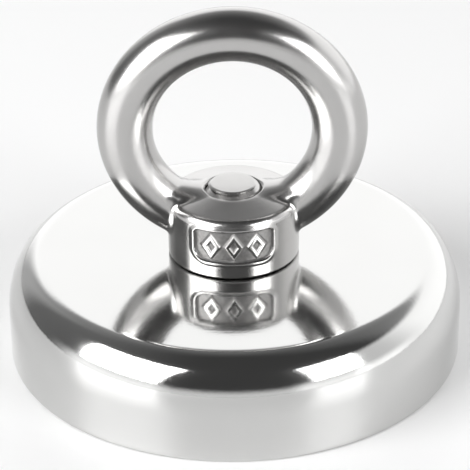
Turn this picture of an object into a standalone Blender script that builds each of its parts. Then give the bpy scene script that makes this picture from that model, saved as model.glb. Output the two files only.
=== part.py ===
"""A magnet fishing magnet: a pot magnet with a cast eye nut on a countersunk screw.

Sizes are in metres and +Z runs up the screw. The origin is the centre of the pulling face, so the
pot's rim stands on z = 0, and the eye is seen square on from -Y.
"""

import math

import bmesh
import bpy

# Driving sizes. Each is set by itself; everything else is worked out from them.
CLEARANCE = 0.0003  # left between pieces that touch

POT_RADIUS = 0.0335
POT_HEIGHT = 0.015
POT_WALL = 0.0045
POT_BASE = 0.006
SHOULDER_WIDTH = 0.00525  # the rounded top edge, measured across
SHOULDER_DROP = 0.0079  # and measured down
RIM_CHAMFER = 0.0004

MAGNET_INSET = 0.0005  # how far the magnet's face lies inside the rim
MAGNET_CHAMFER = 0.0005
OUTER_EPOXY_WIDTH = 0.0016
INNER_EPOXY_WIDTH = 0.0012
BUSH_WALL = 0.0021  # beside the mouth of its countersink

SCREW_RADIUS = 0.004
SCREW_HOLE_CLEARANCE = 0.0005  # all round the shank, in the pot and the bush
HEAD_RADIUS = 0.008
HEAD_LAND = 0.0004  # the short straight edge of the countersunk head
HEAD_INSET = 0.0009
SOCKET_ACROSS_FLATS = 0.005
SOCKET_DEPTH = 0.003
SCREW_END_STANDS_PROUD = 0.0007
SCREW_END_CHAMFER = 0.0007

HUB_RADIUS = 0.0096
HUB_HEIGHT = 0.0099
HUB_CROWN_RADIUS = 0.0055  # the level land round the screw's end
HUB_TOP_FALL = 0.0009  # from the crown out to the rim
HUB_RIM_ROUND = 0.0009
HUB_BASE_CHAMFER = 0.0004

EYE_RADIUS = 0.0154  # to the middle of the bar
EYE_BAR_RADIUS = 0.004
EYE_FLATTENING = 0.954  # its height as a share of its width
EYE_FOOT_ABOVE_HUB_BASE = 0.000762  # the lowest point of the eye's bar, inside the hub

PANEL_WIDTH = 0.0114
PANEL_HEIGHT = 0.005
PANEL_MIDDLE_ABOVE_HUB_BASE = 0.0049
PANEL_DEPTH = 0.00045
PANEL_TOP_CORNER = 0.0008
PANEL_BOTTOM_CORNER = 0.0018
LOZENGE_WIDTH = 0.0022
LOZENGE_HEIGHT = 0.0034
LOZENGE_SPACING = 0.0034

# Facets round each turned shape.
POT_FACETS = 72
MAGNET_FACETS = 60
SMALL_FACETS = 40
EYE_FACETS = 56
EYE_BAR_FACETS = 20
SHOULDER_FACETS = 6
CORNER_FACETS = 4

SHARP_ANGLE = math.radians(30)
CUTTER_OVERRUN = 0.001

# Sizes that follow from the ones above.
SCREW_HOLE_RADIUS = SCREW_RADIUS + SCREW_HOLE_CLEARANCE
EYE_CENTRE_ABOVE_HUB_BASE = EYE_FOOT_ABOVE_HUB_BASE + (EYE_RADIUS + EYE_BAR_RADIUS) * EYE_FLATTENING
POT_BORE_RADIUS = POT_RADIUS - POT_WALL
POT_FLOOR = POT_HEIGHT - POT_BASE
COUNTERSINK_RADIUS = HEAD_RADIUS + math.sqrt(2) * CLEARANCE
BUSH_RADIUS = COUNTERSINK_RADIUS + BUSH_WALL
INNER_EPOXY_RADIUS = BUSH_RADIUS + CLEARANCE + INNER_EPOXY_WIDTH
OUTER_EPOXY_RADIUS = POT_BORE_RADIUS - CLEARANCE
MAGNET_BORE_RADIUS = INNER_EPOXY_RADIUS + CLEARANCE
MAGNET_RADIUS = OUTER_EPOXY_RADIUS - OUTER_EPOXY_WIDTH - CLEARANCE
FILLING_HEIGHT = POT_FLOOR - CLEARANCE - MAGNET_INSET
HUB_BASE = POT_HEIGHT + CLEARANCE
SCREW_LENGTH = HUB_BASE + HUB_HEIGHT + SCREW_END_STANDS_PROUD - HEAD_INSET
PANEL_FLOOR_RADIUS = HUB_RADIUS - PANEL_DEPTH


def clear_scene():
    for obj in list(bpy.data.objects):
        bpy.data.objects.remove(obj, do_unlink=True)


def new_collection(name):
    collection = bpy.data.collections.new(name)
    bpy.context.scene.collection.children.link(collection)
    return collection


def material(name, colour, metallic, roughness):
    made = bpy.data.materials.new(name)
    made.use_nodes = True
    shader = made.node_tree.nodes["Principled BSDF"]
    shader.inputs["Base Color"].default_value = (*colour, 1)
    shader.inputs["Metallic"].default_value = metallic
    shader.inputs["Roughness"].default_value = roughness
    return made


def move_to(obj, collection):
    for old in list(obj.users_collection):
        old.objects.unlink(obj)
    collection.objects.link(obj)


def arc(centre_x, centre_z, width, height, start, end, facets):
    """Points on an ellipse in the XZ plane, from one angle to another."""
    angles = [start + (end - start) * i / facets for i in range(facets + 1)]
    return [(centre_x + width * math.cos(a), centre_z + height * math.sin(a)) for a in angles]


def turned(name, profile, facets, closed=True):
    """A profile turned about Z. It runs down its outer side, and back up its inner side if closed."""
    mesh = bpy.data.meshes.new(name)
    outline = bmesh.new()
    points = [outline.verts.new((x, 0, z)) for x, z in profile]
    for first, second in zip(points, points[1:]):
        outline.edges.new((first, second))
    if closed:
        outline.edges.new((points[-1], points[0]))
    outline.to_mesh(mesh)
    outline.free()
    obj = bpy.data.objects.new(name, mesh)
    screw = obj.modifiers.new("turn", "SCREW")
    screw.axis = "Z"
    screw.steps = facets
    screw.render_steps = facets
    screw.use_merge_vertices = True
    screw.merge_threshold = 0.00001
    return obj


def cut(obj, other, operation="DIFFERENCE"):
    boolean = obj.modifiers.new(other.name, "BOOLEAN")
    boolean.operation = operation
    boolean.solver = "EXACT"
    boolean.object = other


def make_cutter(obj):
    obj.hide_render = True
    obj.display_type = "WIRE"
    move_to(obj, cutters)
    return obj


def make_part(obj, finish, height=0.0):
    """Takes the finished shape, shades it smooth up to its sharp edges, and seats it on the axis."""
    move_to(obj, parts)
    shape = bpy.data.meshes.new_from_object(obj.evaluated_get(bpy.context.evaluated_depsgraph_get()))
    obj.modifiers.clear()
    obj.data = shape
    shape.name = obj.name
    shape.shade_smooth()
    shape.set_sharp_from_angle(angle=SHARP_ANGLE)
    shape.materials.clear()
    shape.materials.append(finish)
    obj.location.z = height
    return obj


def steel_pot():
    shoulder = arc(POT_RADIUS - SHOULDER_WIDTH, POT_HEIGHT - SHOULDER_DROP, SHOULDER_WIDTH,
                   SHOULDER_DROP, math.pi / 2, 0, SHOULDER_FACETS)
    profile = [(SCREW_HOLE_RADIUS, POT_HEIGHT)] + shoulder + [
        (POT_RADIUS, RIM_CHAMFER),
        (POT_RADIUS - RIM_CHAMFER, 0),
        (POT_BORE_RADIUS + RIM_CHAMFER, 0),
        (POT_BORE_RADIUS, RIM_CHAMFER),
        (POT_BORE_RADIUS, POT_FLOOR),
        (SCREW_HOLE_RADIUS, POT_FLOOR),
    ]
    return make_part(turned("steel_pot", profile, POT_FACETS), nickel_plate)


def ring_magnet():
    profile = [
        (MAGNET_BORE_RADIUS, FILLING_HEIGHT),
        (MAGNET_RADIUS, FILLING_HEIGHT),
        (MAGNET_RADIUS, MAGNET_CHAMFER),
        (MAGNET_RADIUS - MAGNET_CHAMFER, 0),
        (MAGNET_BORE_RADIUS + MAGNET_CHAMFER, 0),
        (MAGNET_BORE_RADIUS, MAGNET_CHAMFER),
    ]
    return make_part(turned("ring_magnet", profile, MAGNET_FACETS), magnet_plate, MAGNET_INSET)


def epoxy_ring(name, outer_radius, width, facets):
    profile = [
        (outer_radius - width, FILLING_HEIGHT),
        (outer_radius, FILLING_HEIGHT),
        (outer_radius, 0),
        (outer_radius - width, 0),
    ]
    return make_part(turned(name, profile, facets), black_epoxy, MAGNET_INSET)


def centre_bush():
    """Seats the screw's head in a 90 degree countersink, one clearance off the head's cone."""
    land_top = HEAD_INSET + HEAD_LAND - MAGNET_INSET
    profile = [
        (SCREW_HOLE_RADIUS, FILLING_HEIGHT),
        (BUSH_RADIUS, FILLING_HEIGHT),
        (BUSH_RADIUS, 0),
        (COUNTERSINK_RADIUS, 0),
        (COUNTERSINK_RADIUS, land_top),
        (SCREW_HOLE_RADIUS, land_top + COUNTERSINK_RADIUS - SCREW_HOLE_RADIUS),
    ]
    return make_part(turned("centre_bush", profile, SMALL_FACETS), bush_steel, MAGNET_INSET)


def countersunk_screw():
    profile = [
        (0, SCREW_LENGTH),
        (SCREW_RADIUS - SCREW_END_CHAMFER, SCREW_LENGTH),
        (SCREW_RADIUS, SCREW_LENGTH - SCREW_END_CHAMFER),
        (SCREW_RADIUS, HEAD_LAND + HEAD_RADIUS - SCREW_RADIUS),
        (HEAD_RADIUS, HEAD_LAND),
        (HEAD_RADIUS, 0),
        (0, 0),
    ]
    screw = turned("countersunk_screw", profile, SMALL_FACETS, closed=False)
    bpy.ops.mesh.primitive_cylinder_add(
        vertices=6,
        radius=SOCKET_ACROSS_FLATS / math.sqrt(3),
        depth=SOCKET_DEPTH + CUTTER_OVERRUN,
        location=(0, 0, (SOCKET_DEPTH - CUTTER_OVERRUN) / 2),
    )
    socket = bpy.context.object
    socket.name = "hex_socket"
    cut(screw, make_cutter(socket))
    return make_part(screw, stainless, HEAD_INSET)


def hub_blank():
    """The round body of the eye nut, with a crowned top and a rounded rim."""
    rim_top = HUB_HEIGHT - HUB_TOP_FALL
    rim = arc(HUB_RADIUS - HUB_RIM_ROUND, rim_top - HUB_RIM_ROUND, HUB_RIM_ROUND, HUB_RIM_ROUND,
              math.pi / 2, 0, CORNER_FACETS)
    profile = [(0, HUB_HEIGHT), (HUB_CROWN_RADIUS, HUB_HEIGHT)] + rim + [
        (HUB_RADIUS, HUB_BASE_CHAMFER),
        (HUB_RADIUS - HUB_BASE_CHAMFER, 0),
        (0, 0),
    ]
    return make_cutter(turned("hub_blank", profile, SMALL_FACETS, closed=False))


def bevel_edges(obj, keep, radius):
    """Rounds the edges along Y whose height passes the test."""
    shape = bmesh.new()
    shape.from_mesh(obj.data)
    picked = [e for e in shape.edges
              if abs(e.verts[0].co.y - e.verts[1].co.y) > 1e-6 and keep(e.verts[0].co.z)]
    bmesh.ops.bevel(shape, geom=picked, offset=radius, segments=CORNER_FACETS, profile=0.5,
                    affect="EDGES")
    shape.to_mesh(obj.data)
    shape.free()


def panel_cutter(side):
    """The sunk panel on one side of the hub, side being -1 for the front and 1 for the back.

    Its floor follows the hub's own round. The front one is cut round three raised lozenges.
    """
    inner = math.sqrt(PANEL_FLOOR_RADIUS ** 2 - (PANEL_WIDTH / 2) ** 2) - CUTTER_OVERRUN
    outer = HUB_RADIUS + CUTTER_OVERRUN
    name = "front" if side < 0 else "back"
    bpy.ops.mesh.primitive_cube_add(size=1, location=(0, 0, 0))
    panel = bpy.context.object
    panel.name = name + "_panel"
    panel.scale = (PANEL_WIDTH, outer - inner, PANEL_HEIGHT)
    bpy.ops.object.transform_apply(scale=True)
    bevel_edges(panel, lambda z: z > 0, PANEL_TOP_CORNER)
    bevel_edges(panel, lambda z: z < 0, PANEL_BOTTOM_CORNER)
    panel.location = (0, side * (outer + inner) / 2, PANEL_MIDDLE_ABOVE_HUB_BASE)
    bpy.ops.mesh.primitive_cylinder_add(
        vertices=SMALL_FACETS,
        radius=PANEL_FLOOR_RADIUS,
        depth=HUB_HEIGHT,
        location=(0, 0, PANEL_MIDDLE_ABOVE_HUB_BASE),
    )
    floor = bpy.context.object
    floor.name = name + "_panel_floor"
    cut(panel, make_cutter(floor))
    if side < 0:
        for i in (-1, 0, 1):
            cut(panel, lozenge(i))
    return make_cutter(panel)


def lozenge(place):
    """A diamond prism facing -Y, at -1, 0 or 1 along the panel."""
    bpy.ops.mesh.primitive_cylinder_add(
        vertices=4,
        radius=0.5,
        depth=4 * CUTTER_OVERRUN,
        rotation=(math.pi / 2, 0, 0),
    )
    diamond = bpy.context.object
    diamond.name = "lozenge_" + ("left", "middle", "right")[place + 1]
    bpy.ops.object.transform_apply(rotation=True)
    diamond.scale = (LOZENGE_WIDTH, 1, LOZENGE_HEIGHT)
    bpy.ops.object.transform_apply(scale=True)
    diamond.location = (place * LOZENGE_SPACING, -HUB_RADIUS, PANEL_MIDDLE_ABOVE_HUB_BASE)
    return make_cutter(diamond)


def eye_nut():
    """One casting: an oval eye that runs down into a round hub, bored for the screw."""
    bpy.ops.mesh.primitive_torus_add(
        major_radius=EYE_RADIUS,
        minor_radius=EYE_BAR_RADIUS,
        major_segments=EYE_FACETS,
        minor_segments=EYE_BAR_FACETS,
        rotation=(math.pi / 2, 0, 0),
    )
    eye = bpy.context.object
    eye.name = "eye_nut"
    bpy.ops.object.transform_apply(rotation=True)
    eye.scale.z = EYE_FLATTENING
    eye.location.z = EYE_CENTRE_ABOVE_HUB_BASE
    bpy.ops.object.transform_apply(location=True, scale=True)
    bpy.ops.mesh.primitive_cylinder_add(
        vertices=SMALL_FACETS,
        radius=SCREW_RADIUS + CLEARANCE,
        depth=HUB_HEIGHT + 2 * CUTTER_OVERRUN,
        location=(0, 0, HUB_HEIGHT / 2),
    )
    bore = bpy.context.object
    bore.name = "nut_bore"
    cut(eye, hub_blank(), "UNION")
    cut(eye, make_cutter(bore))
    cut(eye, panel_cutter(-1))
    cut(eye, panel_cutter(1))
    return make_part(eye, cast_stainless, HUB_BASE)


clear_scene()
parts = new_collection("magnet_fishing_magnet")
cutters = new_collection("cutters")

nickel_plate = material("nickel_plate", (0.80, 0.79, 0.77), 1.0, 0.12)
magnet_plate = material("magnet_plate", (0.62, 0.61, 0.60), 1.0, 0.30)
black_epoxy = material("black_epoxy", (0.02, 0.02, 0.022), 0.0, 0.35)
bush_steel = material("bush_steel", (0.56, 0.56, 0.56), 1.0, 0.25)
stainless = material("stainless", (0.60, 0.60, 0.60), 1.0, 0.20)
cast_stainless = material("cast_stainless", (0.58, 0.58, 0.58), 1.0, 0.15)

steel_pot()
ring_magnet()
epoxy_ring("outer_epoxy_ring", OUTER_EPOXY_RADIUS, OUTER_EPOXY_WIDTH, MAGNET_FACETS)
epoxy_ring("inner_epoxy_ring", INNER_EPOXY_RADIUS, INNER_EPOXY_WIDTH, SMALL_FACETS)
centre_bush()
countersunk_screw()
eye_nut()
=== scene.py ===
"""Looks for the magnet fishing magnet: a nickel-plated pot magnet with a cast eye nut and its screw.

Each CAD piece is replaced by a finely modelled one at the same place and size. Lengths are in metres,
written as millimetres times MM. +Z runs up the screw and the marked side of the eye nut faces -Y.
"""

import math

import bmesh
import bpy
import numpy as np
from mathutils import Matrix, Vector


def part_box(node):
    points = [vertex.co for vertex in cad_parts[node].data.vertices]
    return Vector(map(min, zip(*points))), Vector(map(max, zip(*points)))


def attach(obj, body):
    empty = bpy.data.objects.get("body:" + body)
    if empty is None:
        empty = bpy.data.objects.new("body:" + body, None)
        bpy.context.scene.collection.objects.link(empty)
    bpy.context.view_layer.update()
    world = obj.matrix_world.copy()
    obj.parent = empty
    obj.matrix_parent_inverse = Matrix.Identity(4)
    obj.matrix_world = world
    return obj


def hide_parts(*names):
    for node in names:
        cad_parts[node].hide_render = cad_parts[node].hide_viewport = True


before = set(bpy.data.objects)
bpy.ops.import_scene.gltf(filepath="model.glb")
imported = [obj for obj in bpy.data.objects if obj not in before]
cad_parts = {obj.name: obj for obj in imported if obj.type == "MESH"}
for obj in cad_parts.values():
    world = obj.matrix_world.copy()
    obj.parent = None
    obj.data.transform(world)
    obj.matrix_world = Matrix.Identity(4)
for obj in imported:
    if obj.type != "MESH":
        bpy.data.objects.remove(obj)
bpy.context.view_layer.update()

MM = 0.001
FULL_TURN = 2 * math.pi

# The CAD leaves this between pieces that touch. The resin fills it here.
CAD_CLEARANCE = 0.3 * MM

# Sizes read from the frame.
POT_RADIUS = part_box("steel_pot")[1].x
POT_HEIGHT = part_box("steel_pot")[1].z
MAGNET_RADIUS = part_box("ring_magnet")[1].x
MAGNET_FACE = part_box("ring_magnet")[0].z
MAGNET_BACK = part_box("ring_magnet")[1].z
POCKET_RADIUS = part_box("outer_epoxy_ring")[1].x + CAD_CLEARANCE
POCKET_DEPTH = MAGNET_BACK + CAD_CLEARANCE
MAGNET_BORE_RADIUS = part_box("inner_epoxy_ring")[1].x + CAD_CLEARANCE
BUSH_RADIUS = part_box("centre_bush")[1].x
HEAD_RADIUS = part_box("countersunk_screw")[1].x
HEAD_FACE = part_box("countersunk_screw")[0].z
SCREW_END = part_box("countersunk_screw")[1].z
NUT_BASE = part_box("eye_nut")[0].z
NUT_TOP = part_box("eye_nut")[1].z
EYE_OUTER_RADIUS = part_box("eye_nut")[1].x

# The pot and what is set in it.
SHOULDER_WIDTH = 5.25 * MM
SHOULDER_DROP = 7.9 * MM
RIM_ROUND = 0.4 * MM
SCREW_HOLE_RADIUS = 4.5 * MM
MAGNET_ROUND = 0.5 * MM
RESIN_SAG = 0.35 * MM
RESIN_CREEP = 0.05 * MM
BUSH_MOUTH_RADIUS = HEAD_RADIUS + 0.42 * MM
BUSH_ROUND = 0.15 * MM

# The screw, with an M8 thread.
PITCH = 1.25 * MM
THREAD_RADIUS = 4.0 * MM
THREAD_DEPTH = 0.68 * MM
THREAD_ABOVE_NECK = 0.4 * MM
THREAD_END_CHAMFER = 0.75 * MM
THREAD_END_ROUND = 0.25 * MM
HEAD_LAND = 0.4 * MM
HEAD_ROUND = 0.12 * MM
SOCKET_ACROSS_FLATS = 5.0 * MM
SOCKET_DEPTH = 3.0 * MM
SOCKET_BEVEL = 0.12 * MM

# The eye nut: its hub, its eye, and the sunk panel with three raised lozenges. Heights are from its base.
HUB_RADIUS = 9.6 * MM
HUB_HEIGHT = 9.9 * MM
CROWN_RADIUS = 4.4 * MM
CROWN_FALL = 0.9 * MM
CROWN_ROUNDING = 0.1 * MM
RIM_ROUNDING = 1.0 * MM
BASE_ROUNDING = 0.35 * MM
# The real nut is tightened onto the pot, so its base reaches down into half of the CAD's clearance.
BASE_REACH = 0.15 * MM
NUT_BORE_RADIUS = 4.12 * MM
BORE_CHAMFER = 0.15 * MM
BORE_ROUNDING = 0.08 * MM

EYE_BAR_RADIUS = 4.0 * MM
EYE_RADIUS = EYE_OUTER_RADIUS - EYE_BAR_RADIUS
EYE_FLATTENING = 0.954
EYE_CENTRE = NUT_TOP - NUT_BASE - EYE_OUTER_RADIUS * EYE_FLATTENING
# The eye's fillet is small down the hub's wall and grows to a wide one over its crown.
WALL_FILLET = 0.6 * MM
CROWN_FILLET = 2.2 * MM
FILLET_STARTS_TO_GROW = HUB_HEIGHT - 1.4 * MM
FILLET_GROWS_OVER = 2.0 * MM

PANEL_WIDTH = 11.4 * MM
PANEL_HEIGHT = 5.0 * MM
PANEL_MIDDLE = 4.9 * MM
PANEL_DEPTH = 0.45 * MM
PANEL_TOP_CORNER = 0.8 * MM
PANEL_BOTTOM_CORNER = 1.8 * MM
PANEL_EDGE = 0.16 * MM
BEAD_RADIUS = 0.5 * MM
BEAD_STANDS_PROUD = 0.15 * MM
LOZENGE_WIDTH = 2.5 * MM
LOZENGE_HEIGHT = 3.7 * MM
LOZENGE_SPACING = 3.3 * MM
LOZENGE_LINE = 0.5 * MM
LOZENGE_DROP = 0.1 * MM
LOZENGE_FILLET = 0.06 * MM
DRAFT = math.radians(35)

# How finely each piece is made, and how near two vertices of one seam lie.
SHOULDER_STEPS = 32
POT_SIDES = 256
MAGNET_SIDES = 192
BUSH_SIDES = 128
SCREW_SIDES = 96
THREAD_SIDES = 72
SEAM_MERGE = 0.001 * MM
EYE_SEGMENTS = 128
EYE_BAR_SEGMENTS = 40
VOXEL = 0.3 * MM

# The casting's vertices: how they are drawn onto its surface, and which are made finer.
DRAWING_STEPS = 5
PRESSING_STEPS = 30
PRESSING_SHARE = 0.8
SMOOTHING_ROUNDS = 3
PRESSED_MARGIN = 0.7 * MM
REFINED_MARGIN = 0.6 * MM
BORE_RIM_WIDTH = 0.6 * MM
BORE_RIM_DEPTH = 0.7 * MM
BASE_RIM_REACH = 0.5 * MM
ROUGH_ROUND = 0.6 * MM
FAR_AWAY = 1.0  # further off than any point of the casting

# The camera looks along +Y and down, from in front of the marked side.
CAMERA_DISTANCE = 309.7 * MM
CAMERA_ELEVATION = math.radians(28.3)
CAMERA_ROLL = -0.013  # radians
CAMERA_LENS_MM = 162.1
LOOK_HEIGHT = 20.1 * MM
AIM_DROP = 2.55 * MM
AIM_RIGHT = 0.19 * MM

FLOOR_SIZE = 6.0
FLOOR_DROP = 0.02 * MM

# How far off the softboxes stand, and how bright each part of the studio is, where 1 is white.
SOFTBOX_DISTANCE = 1.2
SOFTBOX_SHINE = 6.8
WALL_SHINE = 1.02
SIDE_WALL_SHINE = 0.72
TABLE_SHINE = 0.8
LIT_TABLE_SHINE = 0.6
CORNER_SHINE = 0.35
CEILING_SHINE = 0.13
DARK_SHINE = 0.06


# ---------------------------------------------------------------- modelling helpers

def deselect():
    bpy.ops.object.select_all(action="DESELECT")


def active(name):
    """The primitive that was just added, named."""
    obj = bpy.context.object
    obj.name = name
    obj.data.name = name
    return obj


def make_active(obj):
    deselect()
    obj.select_set(True)
    bpy.context.view_layer.objects.active = obj


def outline(name, points):
    """An open chain of edges in the XZ plane, drawn by extruding one vertex from point to point."""
    deselect()
    bpy.ops.mesh.primitive_plane_add(size=MM, location=(0, 0, 0))
    obj = active(name)
    bpy.ops.object.mode_set(mode="EDIT")
    bpy.ops.mesh.merge(type="CENTER")
    here = Vector((0, 0, 0))
    for i, (x, z) in enumerate(points):
        there = Vector((x, 0, z))
        if i == 0:
            bpy.ops.transform.translate(value=there - here)
        else:
            bpy.ops.mesh.extrude_vertices_move(TRANSFORM_OT_translate={"value": there - here})
        here = there
    bpy.ops.object.mode_set(mode="OBJECT")
    return obj


def turned(name, points, sides):
    """The outline spun once round Z, with its seam and poles closed."""
    obj = outline(name, points)
    bpy.ops.object.mode_set(mode="EDIT")
    bpy.ops.mesh.select_all(action="SELECT")
    bpy.ops.mesh.spin(steps=sides, angle=FULL_TURN, center=(0, 0, 0), axis=(0, 0, 1))
    bpy.ops.mesh.select_all(action="SELECT")
    bpy.ops.mesh.remove_doubles(threshold=SEAM_MERGE)
    bpy.ops.mesh.normals_make_consistent(inside=False)
    bpy.ops.object.mode_set(mode="OBJECT")
    return obj


def arc(centre_x, centre_z, across, up, start, end, steps):
    angles = [start + (end - start) * i / steps for i in range(steps + 1)]
    return [(centre_x + across * math.cos(a), centre_z + up * math.sin(a)) for a in angles]


def rounded(points, radius, steps=4):
    """The same chain of points with each inner corner rounded off, but never into the next one."""
    made = [points[0]]
    for before, corner, after in zip(points, points[1:], points[2:]):
        b, c, a = Vector(before), Vector(corner), Vector(after)
        reach = min(radius, (b - c).length / 2.01, (a - c).length / 2.01)
        start = c + (b - c).normalized() * reach
        end = c + (a - c).normalized() * reach
        for i in range(steps + 1):
            t = i / steps
            made.append(tuple((1 - t) ** 2 * start + 2 * t * (1 - t) * c + t * t * end))
    made.append(points[-1])
    return made


def apply_modifier(obj, kind, **settings):
    make_active(obj)
    modifier = obj.modifiers.new(kind.lower(), kind)
    for name, value in settings.items():
        setattr(modifier, name, value)
    bpy.ops.object.modifier_apply(modifier=modifier.name)


def combine(obj, other, operation):
    """Cuts or joins obj with other, and removes other."""
    apply_modifier(obj, "BOOLEAN", operation=operation, solver="EXACT", object=other)
    bpy.data.objects.remove(other, do_unlink=True)


def smooth_metal(obj, sharp_angle=35):
    """Smooth shading in which the broad faces stay true and only the rounded edges bend the light."""
    make_active(obj)
    bpy.ops.object.shade_smooth_by_angle(angle=math.radians(sharp_angle))
    apply_modifier(obj, "WEIGHTED_NORMAL", keep_sharp=True, weight=60)


def finished(obj, body, nodes, material):
    obj.data.materials.clear()
    obj.data.materials.append(material)
    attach(obj, body)
    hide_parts(*nodes)
    return obj


# ---------------------------------------------------------------- material helpers

def linear(hex_colour):
    """An sRGB hex colour as linear red, green, blue and alpha."""
    parts = [int(hex_colour[i:i + 2], 16) / 255 for i in (1, 3, 5)]
    return tuple(c / 12.92 if c <= 0.04045 else ((c + 0.055) / 1.055) ** 2.4 for c in parts) + (1.0,)


def grain(size_mm):
    """The texture scale at which a pattern repeats about every size_mm."""
    return 1 / (size_mm * MM)


def rings(spacing_mm):
    """The wave texture's scale that puts its rings that far apart."""
    return FULL_TURN / 20 * grain(spacing_mm)


def node(tree, kind, inputs=None, **settings):
    """Adds a node, sets it up, and fills its inputs with values or links."""
    made = tree.nodes.new(kind)
    for name, value in settings.items():
        setattr(made, name, value)
    for name, value in (inputs or {}).items():
        if isinstance(value, bpy.types.NodeSocket):
            tree.links.new(value, made.inputs[name])
        else:
            made.inputs[name].default_value = value
    return made


def new_material(name):
    material = bpy.data.materials.new(name)
    material.use_nodes = True
    tree = material.node_tree
    tree.nodes.clear()
    shader = node(tree, "ShaderNodeBsdfPrincipled")
    node(tree, "ShaderNodeOutputMaterial", {"Surface": shader.outputs["BSDF"]})
    place = node(tree, "ShaderNodeTexCoord").outputs["Object"]
    return material, tree, shader, place


def bright_nickel_plate():
    """Electroplated bright nickel over a lathe-turned steel cup.

    The plating levels the surface to a near mirror, but the circular turning marks and the grain
    of the steel still show through, and handling leaves a faint haze. The marks and the grain are
    drawn coarser than they are, so that they show.
    """
    material, tree, shader, place = new_material("bright_nickel_plate")
    haze = node(tree, "ShaderNodeTexNoise", {"Vector": place, "Scale": grain(14), "Detail": 5})
    steel = node(tree, "ShaderNodeTexNoise", {"Vector": place, "Scale": grain(0.5), "Detail": 4})
    turning = node(tree, "ShaderNodeTexWave", {
        "Vector": place, "Scale": rings(0.7), "Distortion": 1.5, "Detail": 2,
    }, wave_type="RINGS", rings_direction="Z")
    tint = node(tree, "ShaderNodeMix", {
        "Factor": haze.outputs["Fac"], "A": linear("#cccccb"), "B": linear("#d2d2d1"),
    }, data_type="RGBA")
    tree.links.new(tint.outputs[2], shader.inputs["Base Color"])
    polish = node(tree, "ShaderNodeMapRange", {
        "Value": haze.outputs["Fac"], "To Min": 0.05, "To Max": 0.13})
    tree.links.new(polish.outputs["Result"], shader.inputs["Roughness"])
    shader.inputs["Metallic"].default_value = 1.0
    lathe = node(tree, "ShaderNodeBump", {
        "Strength": 1, "Distance": 0.0004 * MM, "Height": turning.outputs["Fac"]})
    skin = node(tree, "ShaderNodeBump", {
        "Strength": 1, "Distance": 0.005 * MM, "Height": steel.outputs["Fac"],
        "Normal": lathe.outputs["Normal"]})
    tree.links.new(skin.outputs["Normal"], shader.inputs["Normal"])
    return material


def plated_magnet():
    """Nickel plate on a ground sintered magnet: the same metal, greyer and satin over the grain.

    The sintered grain is drawn coarser than it is, so that it shows.
    """
    material, tree, shader, place = new_material("plated_sintered_magnet")
    cloud = node(tree, "ShaderNodeTexNoise", {"Vector": place, "Scale": grain(6), "Detail": 6})
    sinter = node(tree, "ShaderNodeTexNoise", {"Vector": place, "Scale": grain(0.25), "Detail": 4})
    tint = node(tree, "ShaderNodeMix", {
        "Factor": cloud.outputs["Fac"], "A": linear("#a9a7a3"), "B": linear("#c0beb9"),
    }, data_type="RGBA")
    tree.links.new(tint.outputs[2], shader.inputs["Base Color"])
    polish = node(tree, "ShaderNodeMapRange", {
        "Value": cloud.outputs["Fac"], "To Min": 0.22, "To Max": 0.40})
    tree.links.new(polish.outputs["Result"], shader.inputs["Roughness"])
    shader.inputs["Metallic"].default_value = 1.0
    bump = node(tree, "ShaderNodeBump", {
        "Strength": 0.25, "Distance": 0.02 * MM, "Height": sinter.outputs["Fac"]})
    tree.links.new(bump.outputs["Normal"], shader.inputs["Normal"])
    return material


def potting_epoxy():
    """Black epoxy resin, poured and cured: glossy, with a slight skin and a few pinhole bubbles."""
    material, tree, shader, place = new_material("black_potting_epoxy")
    skin = node(tree, "ShaderNodeTexNoise", {"Vector": place, "Scale": grain(1.5), "Detail": 4})
    bubbles = node(tree, "ShaderNodeTexVoronoi", {"Vector": place, "Scale": grain(1.8)})
    pit = node(tree, "ShaderNodeMapRange", {"Value": bubbles.outputs["Distance"], "From Max": 0.12})
    shader.inputs["Base Color"].default_value = linear("#141415")
    gloss = node(tree, "ShaderNodeMapRange", {
        "Value": skin.outputs["Fac"], "To Min": 0.18, "To Max": 0.42})
    tree.links.new(gloss.outputs["Result"], shader.inputs["Roughness"])
    ripple = node(tree, "ShaderNodeBump", {
        "Strength": 0.4, "Distance": 0.05 * MM, "Height": skin.outputs["Fac"]})
    pinholes = node(tree, "ShaderNodeBump", {
        "Strength": 0.8, "Distance": 0.1 * MM, "Height": pit.outputs["Result"],
        "Normal": ripple.outputs["Normal"]})
    tree.links.new(pinholes.outputs["Normal"], shader.inputs["Normal"])
    return material


def turned_stainless():
    """Stainless steel faced on a lathe: fine tool rings round the axis, drawn coarser so that they show."""
    material, tree, shader, place = new_material("turned_stainless")
    tool = node(tree, "ShaderNodeTexWave", {
        "Vector": place, "Scale": rings(0.3), "Distortion": 0.6, "Detail": 2,
    }, wave_type="RINGS", rings_direction="Z")
    shader.inputs["Base Color"].default_value = linear("#b4b3b1")
    shader.inputs["Metallic"].default_value = 1.0
    polish = node(tree, "ShaderNodeMapRange", {
        "Value": tool.outputs["Fac"], "To Min": 0.2, "To Max": 0.34})
    tree.links.new(polish.outputs["Result"], shader.inputs["Roughness"])
    bump = node(tree, "ShaderNodeBump", {
        "Strength": 1, "Distance": 0.006 * MM, "Height": tool.outputs["Fac"]})
    tree.links.new(bump.outputs["Normal"], shader.inputs["Normal"])
    return material


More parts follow.
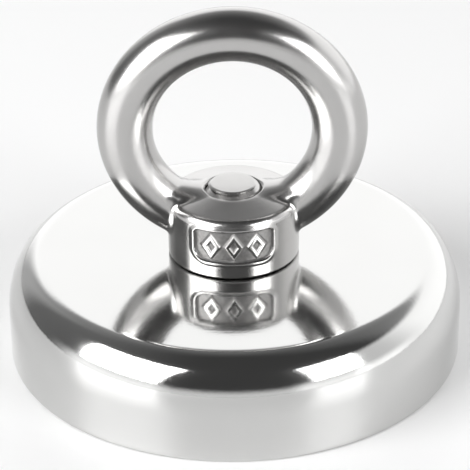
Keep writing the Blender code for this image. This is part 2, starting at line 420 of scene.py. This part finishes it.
def rolled_stainless():
    """A2 stainless screw, cold headed and thread rolled: bright, with soft drawing streaks."""
    material, tree, shader, place = new_material("rolled_stainless")
    streak = node(tree, "ShaderNodeTexNoise", {"Vector": place, "Scale": grain(1.2), "Detail": 5})
    shader.inputs["Base Color"].default_value = linear("#bdbcbb")
    shader.inputs["Metallic"].default_value = 1.0
    polish = node(tree, "ShaderNodeMapRange", {
        "Value": streak.outputs["Fac"], "To Min": 0.16, "To Max": 0.3})
    tree.links.new(polish.outputs["Result"], shader.inputs["Roughness"])
    bump = node(tree, "ShaderNodeBump", {
        "Strength": 0.2, "Distance": 0.02 * MM, "Height": streak.outputs["Fac"]})
    tree.links.new(bump.outputs["Normal"], shader.inputs["Normal"])
    return material


def polished_cast_stainless():
    """Investment-cast stainless, tumbled and buffed: a mirror over a soft cast waviness.

    The buffing wheel doesn't reach the sunk panel, which keeps a finer, duller cast skin. Its colour there
    is also darker, partly from that skin and partly as painted shade in the recess.
    """
    material, tree, shader, place = new_material("polished_cast_stainless")
    haze = node(tree, "ShaderNodeTexNoise", {"Vector": place, "Scale": grain(5), "Detail": 5})
    cast = node(tree, "ShaderNodeTexNoise", {"Vector": place, "Scale": grain(0.45), "Detail": 4})
    sunk = node(tree, "ShaderNodeAttribute", attribute_name="sunk").outputs["Fac"]
    buffed = node(tree, "ShaderNodeMapRange", {
        "Value": haze.outputs["Fac"], "To Min": 0.17, "To Max": 0.29})
    rough = node(tree, "ShaderNodeMix", {
        "Factor": sunk, "A": buffed.outputs["Result"], "B": 0.5,
    }, data_type="FLOAT")
    tint = node(tree, "ShaderNodeMix", {
        "Factor": haze.outputs["Fac"], "A": linear("#b9b8b7"), "B": linear("#c3c2c1"),
    }, data_type="RGBA")
    # The sunk panel's darker colour: the cast skin, plus painted shade in the recess.
    skin_and_painted_shade = node(tree, "ShaderNodeMix", {
        "Factor": cast.outputs["Fac"], "A": linear("#6e6d6c"), "B": linear("#a3a2a1"),
    }, data_type="RGBA")
    colour = node(tree, "ShaderNodeMix", {
        "Factor": sunk, "A": tint.outputs[2], "B": skin_and_painted_shade.outputs[2],
    }, data_type="RGBA")
    tree.links.new(colour.outputs[2], shader.inputs["Base Color"])
    tree.links.new(rough.outputs[0], shader.inputs["Roughness"])
    shader.inputs["Metallic"].default_value = 1.0
    relief = node(tree, "ShaderNodeMix", {"Factor": sunk, "A": 0.06, "B": 1.0}, data_type="FLOAT")
    bump = node(tree, "ShaderNodeBump", {
        "Strength": relief.outputs[0], "Distance": 0.06 * MM, "Height": cast.outputs["Fac"]})
    tree.links.new(bump.outputs["Normal"], shader.inputs["Normal"])
    return material


# ---------------------------------------------------------------- the pot and what is set in it

def pot():
    """The turned cup: flat top, wide elliptical shoulder, straight wall, rounded rim and pocket."""
    shoulder = arc(POT_RADIUS - SHOULDER_WIDTH, POT_HEIGHT - SHOULDER_DROP, SHOULDER_WIDTH,
                   SHOULDER_DROP, math.pi / 2, 0, SHOULDER_STEPS)
    rim = rounded([
        (POT_RADIUS, 2 * RIM_ROUND),
        (POT_RADIUS, 0),
        (POCKET_RADIUS, 0),
        (POCKET_RADIUS, POCKET_DEPTH),
        (SCREW_HOLE_RADIUS, POCKET_DEPTH),
        (SCREW_HOLE_RADIUS, POT_HEIGHT),
        (POT_RADIUS - SHOULDER_WIDTH - RIM_ROUND, POT_HEIGHT),
    ], RIM_ROUND)
    cup = turned("steel_pot_plated", shoulder + rim + shoulder[:1], POT_SIDES)
    smooth_metal(cup)
    return finished(cup, "magnet", ["steel_pot"], bright_nickel_plate())


def magnet_ring():
    """The ring magnet, with its pressed and tumbled edges rounded."""
    ring = rounded([
        (MAGNET_BORE_RADIUS + MM, MAGNET_BACK),
        (MAGNET_RADIUS, MAGNET_BACK),
        (MAGNET_RADIUS, MAGNET_FACE),
        (MAGNET_BORE_RADIUS, MAGNET_FACE),
        (MAGNET_BORE_RADIUS, MAGNET_BACK),
        (MAGNET_BORE_RADIUS + MM, MAGNET_BACK),
    ], MAGNET_ROUND)
    magnet = turned("ring_magnet_plated", ring, MAGNET_SIDES)
    smooth_metal(magnet)
    return finished(magnet, "magnet", ["ring_magnet"], plated_magnet())


def resin_ring(name, inner, outer, node_name, material):
    """Potting resin that fills a gap and creeps up both walls, so that its face is dished."""
    face = arc((inner + outer) / 2, MAGNET_FACE - RESIN_CREEP, (outer - inner) / 2, RESIN_SAG,
               0, math.pi, 12)
    ring = [(inner, MAGNET_BACK), (outer, MAGNET_BACK)] + face + [(inner, MAGNET_BACK)]
    resin = turned(name, ring, MAGNET_SIDES)
    smooth_metal(resin)
    return finished(resin, "magnet", [node_name], material)


def bush():
    """The countersunk bush that carries the screw's head."""
    cone_top = HEAD_FACE + HEAD_LAND
    ring = rounded([
        (BUSH_RADIUS - MM, MAGNET_BACK),
        (BUSH_RADIUS, MAGNET_BACK),
        (BUSH_RADIUS, MAGNET_FACE),
        (BUSH_MOUTH_RADIUS, MAGNET_FACE),
        (BUSH_MOUTH_RADIUS, cone_top),
        (SCREW_HOLE_RADIUS, cone_top + BUSH_MOUTH_RADIUS - SCREW_HOLE_RADIUS),
        (SCREW_HOLE_RADIUS, MAGNET_BACK),
        (BUSH_RADIUS - MM, MAGNET_BACK),
    ], BUSH_ROUND)
    sleeve = turned("centre_bush_turned", ring, BUSH_SIDES)
    smooth_metal(sleeve)
    return finished(sleeve, "magnet", ["centre_bush"], turned_stainless())


# ---------------------------------------------------------------- the screw

def threaded_rod(low, high):
    """A right-hand M8 thread from low to high, cut square at both ends.

    Its crest and root are flat over an eighth and a quarter of the pitch.
    """
    crest = PITCH / 8
    root = PITCH / 4
    flank = (PITCH - crest - root) / 2
    start = low - PITCH
    root_radius = THREAD_RADIUS - THREAD_DEPTH
    tooth = [
        (root_radius, start),
        (root_radius, start + root),
        (THREAD_RADIUS, start + root + flank),
        (THREAD_RADIUS, start + root + flank + crest),
        (root_radius, start + PITCH),
    ]
    rod = outline("thread", tooth)
    turns = math.ceil((high - low) / PITCH) + 2
    apply_modifier(rod, "SCREW", axis="Z", steps=THREAD_SIDES, render_steps=THREAD_SIDES,
                   screw_offset=PITCH, iterations=turns, use_merge_vertices=True,
                   merge_threshold=SEAM_MERGE)
    bpy.ops.object.mode_set(mode="EDIT")
    bpy.ops.mesh.select_all(action="SELECT")
    bpy.ops.mesh.remove_doubles(threshold=SEAM_MERGE)
    for cut_at, up in ((low, False), (high, True)):
        bpy.ops.mesh.select_all(action="SELECT")
        bpy.ops.mesh.bisect(plane_co=(0, 0, cut_at), plane_no=(0, 0, 1), use_fill=True,
                            clear_inner=not up, clear_outer=up)
    bpy.ops.mesh.select_all(action="SELECT")
    bpy.ops.mesh.normals_make_consistent(inside=False)
    bpy.ops.object.mode_set(mode="OBJECT")
    return rod


def screw():
    """The countersunk screw: a socketed head, a short neck and a thread with a chamfered end."""
    neck = HEAD_FACE + HEAD_LAND + HEAD_RADIUS - THREAD_RADIUS
    blank = turned("countersunk_screw_threaded", rounded([
        (0, neck + MM),
        (THREAD_RADIUS - THREAD_DEPTH, neck + MM),
        (THREAD_RADIUS, neck),
        (HEAD_RADIUS, HEAD_FACE + HEAD_LAND),
        (HEAD_RADIUS, HEAD_FACE),
        (0, HEAD_FACE),
    ], HEAD_ROUND), SCREW_SIDES)
    rod = threaded_rod(neck + THREAD_ABOVE_NECK, SCREW_END + PITCH)
    just_outside = THREAD_RADIUS + 0.02 * MM
    end = turned("end_shape", rounded([
        (0, SCREW_END),
        (THREAD_RADIUS - THREAD_END_CHAMFER, SCREW_END),
        (just_outside, SCREW_END - THREAD_END_CHAMFER),
        (just_outside, neck),
        (0, neck),
    ], THREAD_END_ROUND), SCREW_SIDES)
    combine(rod, end, "INTERSECT")
    combine(blank, rod, "UNION")
    deselect()
    bpy.ops.mesh.primitive_cylinder_add(vertices=6, radius=SOCKET_ACROSS_FLATS / math.sqrt(3),
                                        depth=2 * SOCKET_DEPTH, location=(0, 0, HEAD_FACE))
    key = active("hex_key")
    bpy.ops.object.mode_set(mode="EDIT")
    bpy.ops.mesh.select_all(action="SELECT")
    bpy.ops.mesh.bevel(offset=SOCKET_BEVEL, segments=2, affect="EDGES")
    bpy.ops.object.mode_set(mode="OBJECT")
    combine(blank, key, "DIFFERENCE")
    smooth_metal(blank, 30)
    return finished(blank, "screw", ["countersunk_screw"], rolled_stainless())


# ---------------------------------------------------------------- the eye nut

def round_join(a, b, radius):
    """Two solids joined, with a hollow fillet of that radius along the seam."""
    inside = np.hypot(np.maximum(radius - a, 0), np.maximum(radius - b, 0))
    return np.maximum(radius, np.minimum(a, b)) - inside


def round_cross(a, b, radius):
    """What two solids share, with the edge between them rounded to that radius."""
    outside = np.hypot(np.maximum(radius + a, 0), np.maximum(radius + b, 0))
    return np.minimum(-radius, np.maximum(a, b)) + outside


def panel_outline(x, z):
    """How far a point of the hub's front lies outside the panel's rounded outline."""
    up = z - PANEL_MIDDLE
    corner = np.where(up > 0, PANEL_TOP_CORNER, PANEL_BOTTOM_CORNER)
    over_x = np.abs(x) - PANEL_WIDTH / 2 + corner
    over_z = np.abs(up) - PANEL_HEIGHT / 2 + corner
    outside = np.hypot(np.maximum(over_x, 0), np.maximum(over_z, 0))
    return outside + np.minimum(np.maximum(over_x, over_z), 0) - corner


def lozenge_outline(x, z):
    """How far a point lies outside the nearest of the three lozenges."""
    place = np.clip(np.round(x / LOZENGE_SPACING), -1, 1)
    across = np.abs(x - place * LOZENGE_SPACING) / (LOZENGE_WIDTH / 2)
    up = np.abs(z - PANEL_MIDDLE) / (LOZENGE_HEIGHT / 2)
    slope = LOZENGE_WIDTH * LOZENGE_HEIGHT / (2 * math.hypot(LOZENGE_WIDTH, LOZENGE_HEIGHT))
    return (across + up - 1) * slope


def hub_and_eye(z, out, y, eye_out):
    """The crowned hub and the eye's bar, with the fillet between them and a rounded base."""
    eye = np.hypot(eye_out - EYE_RADIUS, y) - EYE_BAR_RADIUS
    fall = math.atan2(CROWN_FALL, HUB_RADIUS - RIM_ROUNDING - CROWN_RADIUS)
    slope = (z - HUB_HEIGHT) * math.cos(fall) + (out - CROWN_RADIUS) * math.sin(fall)
    top = round_cross(z - HUB_HEIGHT, slope, CROWN_ROUNDING)
    hub = round_cross(out - HUB_RADIUS, top, RIM_ROUNDING)
    grown = np.clip((z - FILLET_STARTS_TO_GROW) / FILLET_GROWS_OVER, 0, 1)
    fillet = WALL_FILLET + (CROWN_FILLET - WALL_FILLET) * grown ** 2 * (3 - 2 * grown)
    return round_cross(round_join(hub, eye, fillet), -z - BASE_REACH, BASE_ROUNDING)


def with_panels(nut, x, z, out):
    """The casting with a bead round each panel, and each panel sunk with drafted walls."""
    front = panel_outline(x, z)
    bead = np.hypot(front, out - HUB_RADIUS - BEAD_STANDS_PROUD + BEAD_RADIUS) - BEAD_RADIUS
    nut = round_join(nut, bead, 2 * PANEL_EDGE)
    wall = front * math.cos(DRAFT) + (HUB_RADIUS - out) * math.sin(DRAFT)
    return round_cross(nut, -np.maximum(wall, HUB_RADIUS - PANEL_DEPTH - out), PANEL_EDGE)


def with_lozenges(nut, x, y, z, out):
    """The casting with three lozenges, each a raised line, in the front panel."""
    line = np.abs(lozenge_outline(x, z) + LOZENGE_LINE / 2) - LOZENGE_LINE / 2
    above = out - HUB_RADIUS + LOZENGE_DROP
    raised = round_cross(line * math.cos(DRAFT) + above * math.sin(DRAFT), above, LOZENGE_DROP)
    raised = np.maximum(raised, HUB_RADIUS - 2 * PANEL_DEPTH - out)
    raised = np.where(y < 0, raised, FAR_AWAY)
    return round_join(nut, raised, LOZENGE_FILLET)


def bored(nut, z, out):
    """The casting with its bore cut, chamfered at both ends."""
    widening = np.maximum(np.maximum(z - HUB_HEIGHT, -z) + BORE_CHAMFER, 0)
    bore = np.maximum(out - NUT_BORE_RADIUS - widening, z - HUB_HEIGHT - MM)
    return round_cross(nut, -bore, BORE_ROUNDING)


def nut_distance(points):
    """Roughly how far each point lies outside the eye nut's casting, measured from the nut's base."""
    x, y, z = points.T
    out = np.hypot(x, y)
    eye_out = np.hypot(x, (z - EYE_CENTRE) / EYE_FLATTENING)
    nut = hub_and_eye(z, out, y, eye_out)
    nut = with_panels(nut, x, z, out)
    nut = with_lozenges(nut, x, y, z, out)
    return bored(nut, z, out)


def gradient(points):
    """The slope of the distance at each point, by differences along each axis."""
    step = 0.0005 * MM
    sides = [(nut_distance(points + step * axis) - nut_distance(points - step * axis)) / (2 * step)
             for axis in np.eye(3)]
    return np.stack(sides, axis=1)


def read_points(mesh):
    flat = np.zeros(len(mesh.vertices) * 3)
    mesh.vertices.foreach_get("co", flat)
    return flat.reshape(-1, 3)


def on_panel(x, y, z, margin):
    """Which points lie on either panel, or within a margin round it."""
    shell = np.abs(np.hypot(x, y) - HUB_RADIUS) < 2 * PANEL_DEPTH
    return shell & (panel_outline(x, z) < margin)


def drawn_to_surface(points):
    """Each point moved along the distance's slope until it lies on the casting.

    No step is longer than half a voxel, and a nearly flat slope doesn't lengthen it.
    """
    for _ in range(DRAWING_STEPS):
        away = nut_distance(points)
        slope = gradient(points)
        move = -(away / np.maximum((slope ** 2).sum(1), 0.25))[:, None] * slope
        length = np.linalg.norm(move, axis=1, keepdims=True)
        points = points + move * np.minimum(1, VOXEL / 2 / np.maximum(length, 1e-9))
    return points


def pressed_inwards(points):
    """Each point moved straight in towards the axis, from outside, until it meets the casting."""
    x, y, z = points.T
    start = np.hypot(x, y)
    outwards = np.stack([x / start, y / start], axis=1)
    out = np.full(len(x), HUB_RADIUS + 2 * BEAD_STANDS_PROUD)
    for _ in range(PRESSING_STEPS):
        out -= PRESSING_SHARE * nut_distance(np.column_stack([outwards * out[:, None], z]))
    return np.column_stack([outwards * out[:, None], z])


def settle(mesh):
    """Moves every vertex onto the true surface of the casting.

    The panels' small steps would gather vertices at their corners, so those are pressed in instead.
    """
    points = read_points(mesh) - (0, 0, NUT_BASE)
    on = on_panel(*points.T, PRESSED_MARGIN)
    points[~on] = drawn_to_surface(points[~on])
    points[on] = pressed_inwards(points[on])
    mesh.vertices.foreach_set("co", (points + (0, 0, NUT_BASE)).ravel())
    mesh.update()


def refine(obj, wanted, cuts):
    """Subdivides the faces whose centres are wanted."""
    bpy.ops.object.mode_set(mode="EDIT")
    bpy.ops.mesh.select_mode(type="FACE")
    bpy.ops.mesh.select_all(action="DESELECT")
    shape = bmesh.from_edit_mesh(obj.data)
    faces = list(shape.faces)
    centres = np.array([face.calc_center_median() for face in faces]) - (0, 0, NUT_BASE)
    for i in np.flatnonzero(wanted(*centres.T)):
        faces[i].select_set(True)
    bmesh.update_edit_mesh(obj.data)
    bpy.ops.mesh.subdivide(number_cuts=cuts)
    bpy.ops.object.mode_set(mode="OBJECT")


def on_sharp_rim(x, y, z):
    """The rims of the bore and the outer edge of the base."""
    out = np.hypot(x, y)
    near_end = np.abs(z - HUB_HEIGHT / 2) > HUB_HEIGHT / 2 - BORE_RIM_DEPTH
    bore = (np.abs(out - NUT_BORE_RADIUS) < BORE_RIM_WIDTH) & near_end
    base = (np.abs(out - HUB_RADIUS) < BASE_RIM_REACH) & (z < BASE_RIM_REACH)
    return bore | base


def eye_nut():
    """The casting: a torus and a turned hub joined and bored, remeshed, then settled to true form."""
    deselect()
    bpy.ops.mesh.primitive_torus_add(
        major_radius=EYE_RADIUS, minor_radius=EYE_BAR_RADIUS, major_segments=EYE_SEGMENTS,
        minor_segments=EYE_BAR_SEGMENTS, rotation=(math.pi / 2, 0, 0), location=(0, 0, 0))
    nut = active("eye_nut_cast")
    bpy.ops.object.transform_apply(rotation=True)
    nut.scale.z = EYE_FLATTENING
    nut.location.z = NUT_BASE + EYE_CENTRE
    bpy.ops.object.transform_apply(location=True, scale=True)
    hub = turned("hub", rounded([
        (0, NUT_BASE + HUB_HEIGHT),
        (CROWN_RADIUS, NUT_BASE + HUB_HEIGHT),
        (HUB_RADIUS, NUT_BASE + HUB_HEIGHT - CROWN_FALL),
        (HUB_RADIUS, NUT_BASE),
        (0, NUT_BASE),
    ], ROUGH_ROUND), SCREW_SIDES)
    combine(nut, hub, "UNION")
    deselect()
    bpy.ops.mesh.primitive_cylinder_add(vertices=64, radius=NUT_BORE_RADIUS,
                                        depth=HUB_HEIGHT + 2 * MM,
                                        location=(0, 0, NUT_BASE + HUB_HEIGHT / 2))
    combine(nut, active("bore"), "DIFFERENCE")
    apply_modifier(nut, "REMESH", mode="VOXEL", voxel_size=VOXEL)
    settle(nut.data)
    # The marked panel needs the finest faces.
    refine(nut, lambda x, y, z: on_panel(x, y, z, REFINED_MARGIN) & (y < 0), cuts=3)
    refine(nut, lambda x, y, z: on_panel(x, y, z, REFINED_MARGIN) & (y > 0), cuts=1)
    refine(nut, on_sharp_rim, cuts=2)
    settle(nut.data)
    for _ in range(SMOOTHING_ROUNDS):
        bpy.ops.object.mode_set(mode="EDIT")
        bpy.ops.mesh.select_all(action="SELECT")
        bpy.ops.mesh.vertices_smooth(factor=0.5, repeat=2)
        bpy.ops.object.mode_set(mode="OBJECT")
        settle(nut.data)
    make_active(nut)
    bpy.ops.object.shade_smooth()
    points = read_points(nut.data) - (0, 0, NUT_BASE)
    normals = gradient(points)
    normals /= np.linalg.norm(normals, axis=1, keepdims=True)
    nut.data.normals_split_custom_set_from_vertices(normals.tolist())
    out = np.hypot(points[:, 0], points[:, 1])
    depth = np.where(panel_outline(points[:, 0], points[:, 2]) < 0, HUB_RADIUS - out, 0)
    # The rough skin, and the painted shade in the panel, start a third of the way down a panel's wall and
    # are full near its floor.
    skin_and_painted_shade = np.clip(depth / PANEL_DEPTH * 2 - 0.7, 0, 1).astype(np.float32)
    sunk = nut.data.attributes.new("sunk", "FLOAT", "POINT")
    sunk.data.foreach_set("value", skin_and_painted_shade)
    return finished(nut, "eye", ["eye_nut"], polished_cast_stainless())


# ---------------------------------------------------------------- stage, light and camera

def floor():
    """A plain pale studio floor: satin white laminate, which mirrors the softboxes a little.

    It lies just under the pot's rim, so that the two faces never share a plane.
    """
    deselect()
    bpy.ops.mesh.primitive_plane_add(size=FLOOR_SIZE, location=(0, 0, -FLOOR_DROP))
    ground = active("studio_floor")
    material, tree, shader, _ = new_material("studio_floor")
    shader.inputs["Base Color"].default_value = linear("#f7f7f7")
    shader.inputs["Roughness"].default_value = 0.36
    ground.data.materials.append(material)


def studio_part(tree, shine, *ramps):
    """One part of the studio: its shine, faded smoothly from full to gone along each angle's ramp."""
    for angle, full, gone in ramps:
        ramp = node(tree, "ShaderNodeMapRange", {
            "Value": angle, "From Min": full, "From Max": gone, "To Min": 1, "To Max": 0,
        }, interpolation_type="SMOOTHSTEP")
        part = node(tree, "ShaderNodeMath", {0: shine, 1: ramp.outputs["Result"]}, operation="MULTIPLY")
        shine = part.outputs[0]
    return shine


def studio_world():
    """A product-table studio round the softboxes, for the polished metal to mirror.

    It has pale walls behind and to the right, and a pale table out to the horizon. Its ceiling, its
    left side and the side of the camera are dark.
    """
    world = bpy.data.worlds.new("studio")
    bpy.context.scene.world = world
    world.use_nodes = True
    tree = world.node_tree
    tree.nodes.clear()
    direction = node(tree, "ShaderNodeTexCoord").outputs["Generated"]
    right, away, up = node(tree, "ShaderNodeSeparateXYZ", {"Vector": direction}).outputs
    round_back = node(tree, "ShaderNodeMath", {0: right, 1: away}, operation="ARCTAN2").outputs[0]
    lift = node(tree, "ShaderNodeMath", {0: up}, operation="ARCSINE").outputs[0]
    # Degrees rightwards from straight behind the object, and degrees above the table.
    turn = node(tree, "ShaderNodeMath", {0: round_back}, operation="DEGREES").outputs[0]
    height = node(tree, "ShaderNodeMath", {0: lift}, operation="DEGREES").outputs[0]

    wall = [(turn, -18, -36), (turn, 116, 124), (height, 33, 42)]
    parts = [
        # The table behind the object, out to the horizon, and where the softboxes light it in front.
        studio_part(tree, TABLE_SHINE, (height, 2, 13), (away, -0.2, 0.2)),
        studio_part(tree, LIT_TABLE_SHINE, (height, 8, 16), (turn, -138, -152), (turn, -104, -88)),
        studio_part(tree, LIT_TABLE_SHINE, (height, 8, 16), (turn, 145, 156), (turn, 120, 110)),
        # The pale wall behind and to the right, brightest behind.
        studio_part(tree, SIDE_WALL_SHINE, *wall),
        studio_part(tree, WALL_SHINE - SIDE_WALL_SHINE, *wall, (turn, 70, 112)),
        # Its light fading upwards and into the corner, and a trace of it on the ceiling.
        studio_part(tree, CORNER_SHINE, (turn, -42, -60), (turn, 70, 100), (height, 15, 65)),
        studio_part(tree, CEILING_SHINE, (turn, -40, -160), (turn, 50, 100), (height, 50, 85)),
    ]
    strength = DARK_SHINE
    for part in parts:
        strength = node(tree, "ShaderNodeMath", {0: part, 1: strength}, operation="ADD").outputs[0]
    shine = node(tree, "ShaderNodeBackground", {"Strength": strength})
    shine.inputs["Color"].default_value = (1, 1, 1, 1)
    node(tree, "ShaderNodeOutputWorld", {"Surface": shine.outputs["Background"]})


def softbox(name, azimuth, elevation, width, height):
    """A rectangular softbox aimed at the object, at an azimuth rightwards from behind the camera."""
    lamp = bpy.data.lights.new(name, "AREA")
    lamp.shape = "RECTANGLE"
    lamp.size = width
    lamp.size_y = height
    lamp.energy = SOFTBOX_SHINE * math.pi * width * height
    box = bpy.data.objects.new(name, lamp)
    bpy.context.scene.collection.objects.link(box)
    turn = math.radians(azimuth)
    lift = math.radians(elevation)
    out = Vector((math.cos(lift) * math.sin(turn), -math.cos(lift) * math.cos(turn), math.sin(lift)))
    box.location = out * SOFTBOX_DISTANCE
    box.rotation_euler = out.to_track_quat("Z", "Y").to_euler()


def camera():
    lens = bpy.data.cameras.new("camera")
    lens.lens = CAMERA_LENS_MM
    lens.sensor_width = 36
    lens.clip_start = 0.01
    eye = bpy.data.objects.new("camera", lens)
    bpy.context.scene.collection.objects.link(eye)
    back = Vector((0, -math.cos(CAMERA_ELEVATION), math.sin(CAMERA_ELEVATION)))
    up = Vector((0, math.sin(CAMERA_ELEVATION), math.cos(CAMERA_ELEVATION)))
    middle = Vector((0, 0, LOOK_HEIGHT))
    eye.location = middle + CAMERA_DISTANCE * back
    gaze = middle - AIM_DROP * up + Vector((AIM_RIGHT, 0, 0)) - eye.location
    turn = gaze.to_track_quat("-Z", "Y").to_matrix().to_4x4()
    roll = Matrix.Rotation(CAMERA_ROLL, 4, "Z")
    eye.rotation_euler = (turn @ roll).to_euler()
    bpy.context.scene.camera = eye


camera()
floor()
studio_world()
softbox("left_softbox", azimuth=-58, elevation=30, width=0.94, height=0.85)
softbox("right_softbox", azimuth=50, elevation=26, width=0.54, height=0.64)
bpy.context.scene.view_settings.view_transform = "Standard"

resin = potting_epoxy()
pot()
magnet_ring()
resin_ring("outer_epoxy_ring_poured", MAGNET_RADIUS, POCKET_RADIUS, "outer_epoxy_ring", resin)
resin_ring("inner_epoxy_ring_poured", BUSH_RADIUS, MAGNET_BORE_RADIUS, "inner_epoxy_ring", resin)
bush()
screw()
eye_nut()
